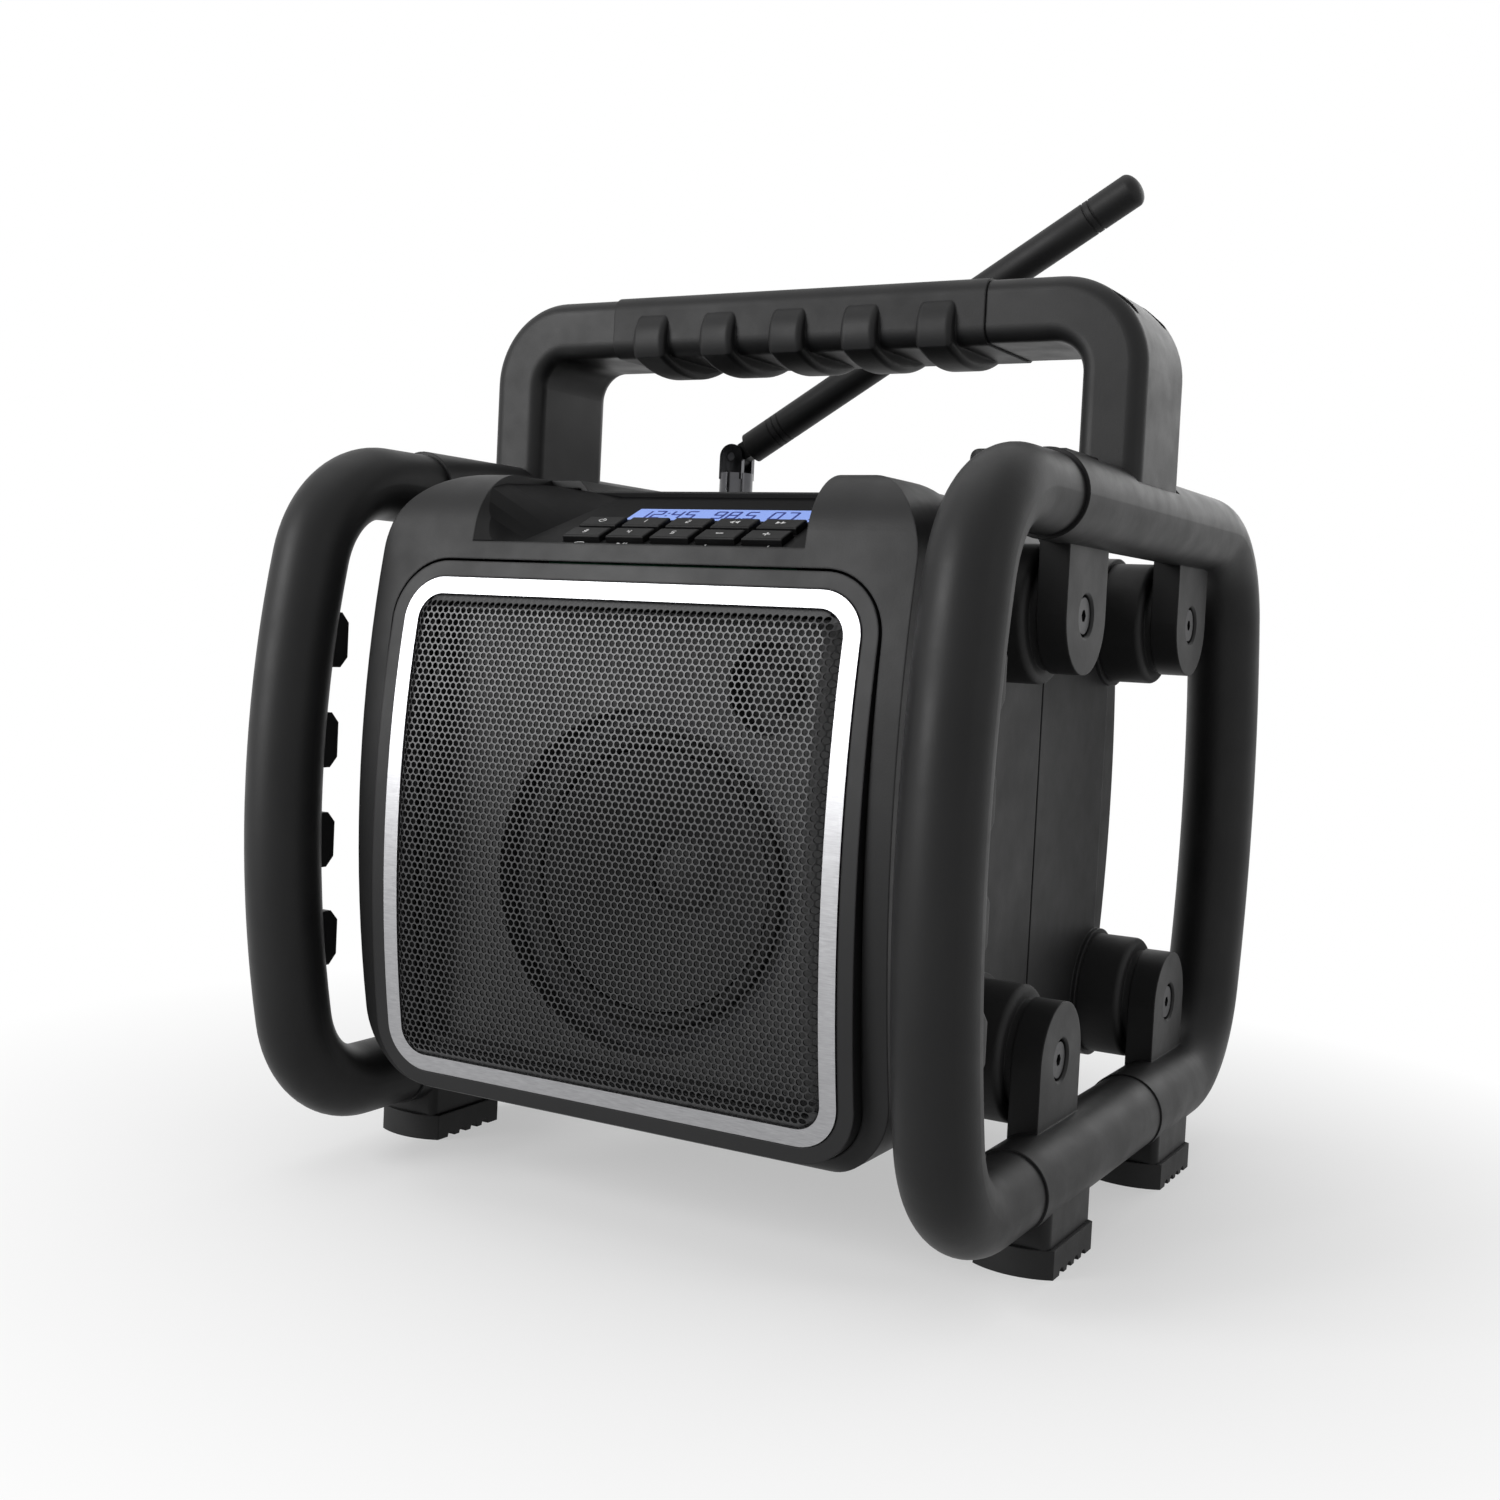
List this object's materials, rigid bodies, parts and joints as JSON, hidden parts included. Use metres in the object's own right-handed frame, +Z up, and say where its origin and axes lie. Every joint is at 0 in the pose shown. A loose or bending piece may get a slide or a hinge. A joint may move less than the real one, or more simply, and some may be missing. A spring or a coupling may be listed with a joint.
{
  "type": "jobsite radio",
  "caption": "Portable radio with a speaker grille, keypad and display, hung on rubber mounts in a tube roll cage with a carry handle and a folding antenna.",
  "frame": {"origin": "on the floor, below the middle of the roll cage", "axes": "+Z up, the speaker faces -Y, +X to the right of someone facing the speaker"},
  "size_m": [0.2934, 0.3478, 0.4137],
  "materials": {
    "cage_rubber": "satin, soft-touch",
    "steel_tube": "plain",
    "casing_plastic": "fine texture",
    "handle_plastic": "satin",
    "grip_rubber": "satin",
    "soft_rubber": "matte",
    "dark_steel": "black oxide",
    "bezel_grey": "satin",
    "brushed_silver": "brushed",
    "mesh_black": "satin black paint",
    "baffle_black": "matte",
    "speaker_metal": "painted",
    "cone_paper": "pressed paper",
    "tweeter_black": "satin",
    "panel_black": "gloss",
    "display_clear": "clear window",
    "display_blue": "lit display",
    "circuit_board": "solder mask",
    "key_black": "satin with white symbols",
    "battery_wrap": "plain sleeve",
    "contact_metal": "nickel plated",
    "tray_plastic": "plain",
    "dark_chrome": "dark chrome",
    "antenna_rubber": "matte"
  },
  "bodies": {
    "cage": {"carry_handle": "handle_plastic", "foot_screws": "dark_steel", "handle_grip": "grip_rubber", "handle_screws": "dark_steel", "left_dampers": "soft_rubber", "left_front_grip": "cage_rubber", "left_grip_core": "steel_tube", "left_lower_link": "cage_rubber", "left_upper_frame": "cage_rubber", "mount_bolts": "dark_steel", "mount_washers": "dark_steel", "right_dampers": "soft_rubber", "right_front_grip": "cage_rubber", "right_grip_core": "steel_tube", "right_lower_link": "cage_rubber", "right_upper_frame": "cage_rubber", "rubber_feet": "soft_rubber"},
    "radio": {"antenna_socket": "dark_chrome", "battery_box": "tray_plastic", "battery_cells": "battery_wrap", "battery_contacts": "contact_metal", "casing_gasket": "soft_rubber", "casing_screws": "dark_steel", "centre_casing": "casing_plastic", "control_panel": "panel_black", "display_lens": "display_clear", "display_module": "display_blue", "door_hinge_pin": "dark_steel", "front_bezel": "bezel_grey", "front_casing": "casing_plastic", "grille_frame": "brushed_silver", "grille_mesh": "mesh_black", "keypad_board": "circuit_board", "main_board": "circuit_board", "mount_studs": "dark_steel", "rear_casing": "casing_plastic", "socket_panel": "casing_plastic", "speaker_baffle": "baffle_black", "tweeter": "tweeter_black", "woofer_basket": "speaker_metal", "woofer_magnet": "speaker_metal", "woofer_surround": "soft_rubber"},
    "door": {"battery_door": "casing_plastic"},
    "latch": {"door_latch": "casing_plastic"},
    "flap": {"socket_cover": "soft_rubber"},
    "cone": {"woofer_cone": "cone_paper"},
    "coupler": {"antenna_coupler": "dark_chrome", "antenna_pin": "dark_steel"},
    "whip": {"antenna_whip": "antenna_rubber"},
    "key_1": {"button_1": "key_black"},
    "key_2": {"button_2": "key_black"},
    "key_3": {"button_3": "key_black"},
    "key_4": {"button_4": "key_black"},
    "key_5": {"button_5": "key_black"},
    "key_6": {"button_6": "key_black"},
    "key_7": {"button_7": "key_black"},
    "key_8": {"button_8": "key_black"},
    "key_9": {"button_9": "key_black"},
    "key_10": {"button_10": "key_black"}
  },
  "joints": [
    {"name": "shock_mount", "type": "slide", "parent": "cage", "child": "radio", "axis": [0, 0, 1], "range_m": [-0.002, 0.002], "stiffness_N_per_m": 60000, "springref_m": 0.00048},
    {"name": "woofer_travel", "type": "slide", "parent": "radio", "child": "cone", "axis": [0, 1, 0], "range_m": [-0.003, 0.003], "stiffness_N_per_m": 1500},
    {"name": "antenna_swivel", "type": "hinge", "parent": "radio", "child": "coupler", "pos_m": [-0.088, 0.092, 0.27], "axis": [0, 0, 1], "range_deg": [0, 180]},
    {"name": "antenna_tilt", "type": "hinge", "parent": "coupler", "child": "whip", "pos_m": [-0.088, 0.092, 0.2956], "axis": [0, 1, 0], "range_deg": [-58.9, 31.1]},
    {"name": "battery_door_hinge", "type": "hinge", "parent": "radio", "child": "door", "pos_m": [0, 0.09351, 0.0542], "axis": [-1, 0, 0], "range_deg": [0, 95]},
    {"name": "door_latch_slide", "type": "slide", "parent": "door", "child": "latch", "axis": [0, 0, 1], "range_m": [-0.0035, 0], "stiffness_N_per_m": 300},
    {"name": "socket_flap_hinge", "type": "hinge", "parent": "radio", "child": "flap", "pos_m": [0.045, 0.10546, 0.1906], "axis": [1, 0, 0], "range_deg": [0, 100], "stiffness_Nm_per_rad": 0.02},
    {"name": "key_1_press", "type": "slide", "parent": "radio", "child": "key_1", "axis": [0, 0.4067, -0.9135], "range_m": [0, 0.001], "stiffness_N_per_m": 1500},
    {"name": "key_2_press", "type": "slide", "parent": "radio", "child": "key_2", "axis": [0, 0.4067, -0.9135], "range_m": [0, 0.001], "stiffness_N_per_m": 1500},
    {"name": "key_3_press", "type": "slide", "parent": "radio", "child": "key_3", "axis": [0, 0.4067, -0.9135], "range_m": [0, 0.001], "stiffness_N_per_m": 1500},
    {"name": "key_4_press", "type": "slide", "parent": "radio", "child": "key_4", "axis": [0, 0.4067, -0.9135], "range_m": [0, 0.001], "stiffness_N_per_m": 1500},
    {"name": "key_5_press", "type": "slide", "parent": "radio", "child": "key_5", "axis": [0, 0.4067, -0.9135], "range_m": [0, 0.001], "stiffness_N_per_m": 1500},
    {"name": "key_6_press", "type": "slide", "parent": "radio", "child": "key_6", "axis": [0, 0.4067, -0.9135], "range_m": [0, 0.001], "stiffness_N_per_m": 1500},
    {"name": "key_7_press", "type": "slide", "parent": "radio", "child": "key_7", "axis": [0, 0.4067, -0.9135], "range_m": [0, 0.001], "stiffness_N_per_m": 1500},
    {"name": "key_8_press", "type": "slide", "parent": "radio", "child": "key_8", "axis": [0, 0.4067, -0.9135], "range_m": [0, 0.001], "stiffness_N_per_m": 1500},
    {"name": "key_9_press", "type": "slide", "parent": "radio", "child": "key_9", "axis": [0, 0.4067, -0.9135], "range_m": [0, 0.001], "stiffness_N_per_m": 1500},
    {"name": "key_10_press", "type": "slide", "parent": "radio", "child": "key_10", "axis": [0, 0.4067, -0.9135], "range_m": [0, 0.001], "stiffness_N_per_m": 1500}
  ]
}
